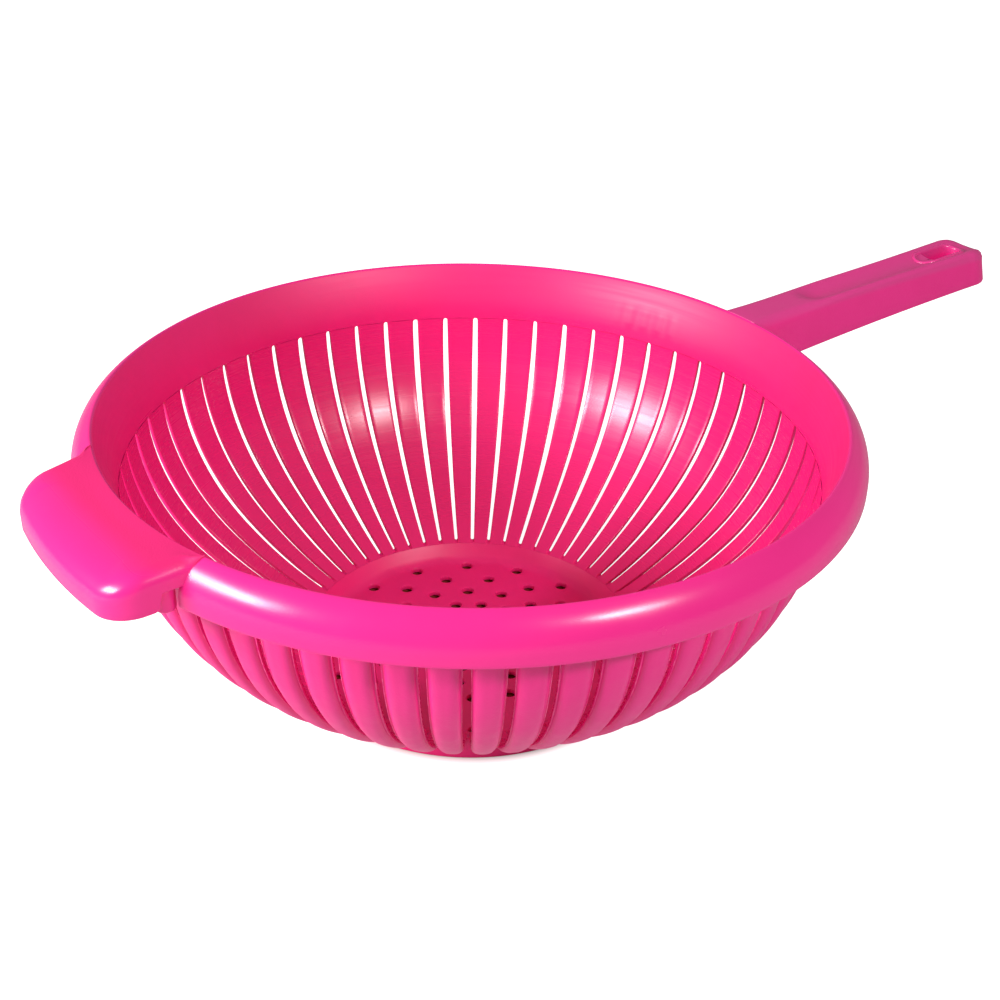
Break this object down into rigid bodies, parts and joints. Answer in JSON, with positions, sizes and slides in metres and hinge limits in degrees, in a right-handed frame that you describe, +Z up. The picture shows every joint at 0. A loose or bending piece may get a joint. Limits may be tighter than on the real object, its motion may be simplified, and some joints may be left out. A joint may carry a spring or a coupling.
{
  "type": "colander",
  "caption": "Pink plastic colander with a slotted bowl, pierced floor, rolled rim, a long handle with a hanging eye and a block grip opposite it",
  "frame": {"origin": "centre of the foot's underside, on the surface the colander stands on", "axes": "+X along the handle, +Z up, +Y to the left seen from the grip towards the handle"},
  "size_m": [0.3926, 0.25, 0.0997],
  "materials": {
    "pink_plastic": "glossy moulded hot pink polypropylene, smooth with faint drag marks inside the bowl"
  },
  "bodies": {
    "root": {"wall_staves": "pink_plastic", "drain_base": "pink_plastic", "bowl_collar": "pink_plastic", "rim_band_left": "pink_plastic", "rim_band_right": "pink_plastic", "front_grip": "pink_plastic", "grip_posts": "pink_plastic", "handle_shell": "pink_plastic", "handle_ribs": "pink_plastic", "hanging_eye": "pink_plastic"}
  },
  "joints": []
}
